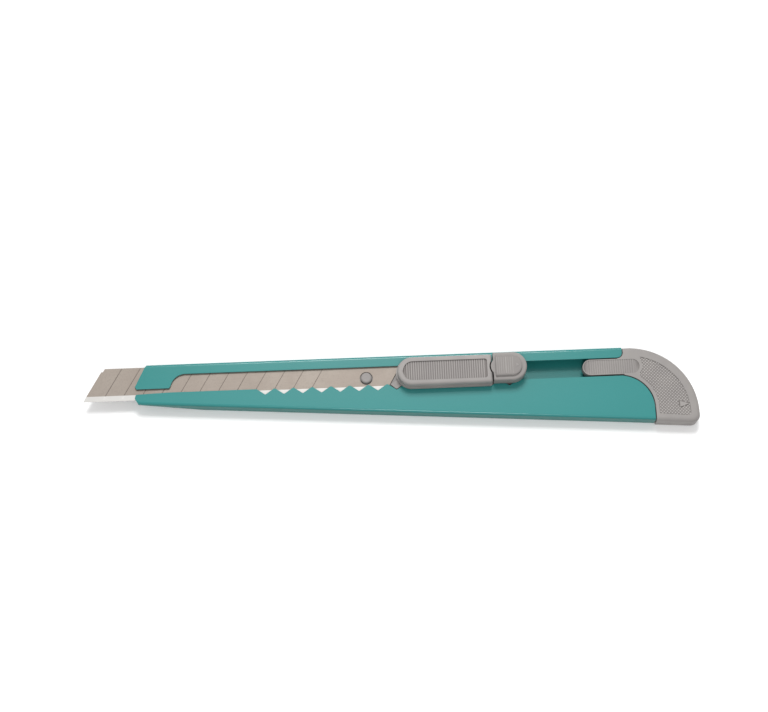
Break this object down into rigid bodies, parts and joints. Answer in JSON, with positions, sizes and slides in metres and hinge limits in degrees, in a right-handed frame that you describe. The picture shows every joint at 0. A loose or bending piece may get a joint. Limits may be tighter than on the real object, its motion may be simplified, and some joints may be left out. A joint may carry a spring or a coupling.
{
  "type": "snap off knife",
  "caption": "Snap-off knife with a scored blade in a folded sheet-steel holder, with a ratchet thumb slide, a lock button and a pull-off tail cap.",
  "frame": {"origin": "on the holder's flat back face, on the blade's centre line, at the middle of the holder's length", "axes": "+X along the slide axis from nose to tail cap; +Y in the blade's plane, away from the cutting edge; +Z out of the front face, where the thumb slide is"},
  "size_m": [0.1634, 0.0213, 0.0089],
  "materials": {
    "holder_enamel": "teal enamel, semi-gloss",
    "blade_steel": "ground tool steel",
    "carrier_plastic": "moulded, fine matt",
    "latch_plastic": "moulded, fine matt",
    "spring_steel": "spring steel strip",
    "slide_plastic": "moulded, fine matt",
    "button_plastic": "moulded, fine matt",
    "cap_plastic": "moulded, fine matt"
  },
  "bodies": {
    "holder": {"holder": "holder_enamel"},
    "slide": {"blade_carrier": "carrier_plastic", "blade": "blade_steel", "latch_spring": "latch_plastic", "pressure_spring": "spring_steel", "thumb_slide": "slide_plastic"},
    "lock": {"lock_button": "button_plastic"},
    "cap": {"tail_cap": "cap_plastic"}
  },
  "joints": [
    {"name": "blade_travel", "type": "slide", "parent": "holder", "child": "slide", "axis": [1, 0, 0], "range_m": [-0.035, 0.015], "deforming": ["latch_spring"]},
    {"name": "lock_travel", "type": "slide", "parent": "slide", "child": "lock", "axis": [1, 0, 0], "range_m": [0, 0.002]},
    {"name": "cap_pull", "type": "slide", "parent": "holder", "child": "cap", "axis": [1, 0, 0], "range_m": [0, 0.022]}
  ]
}
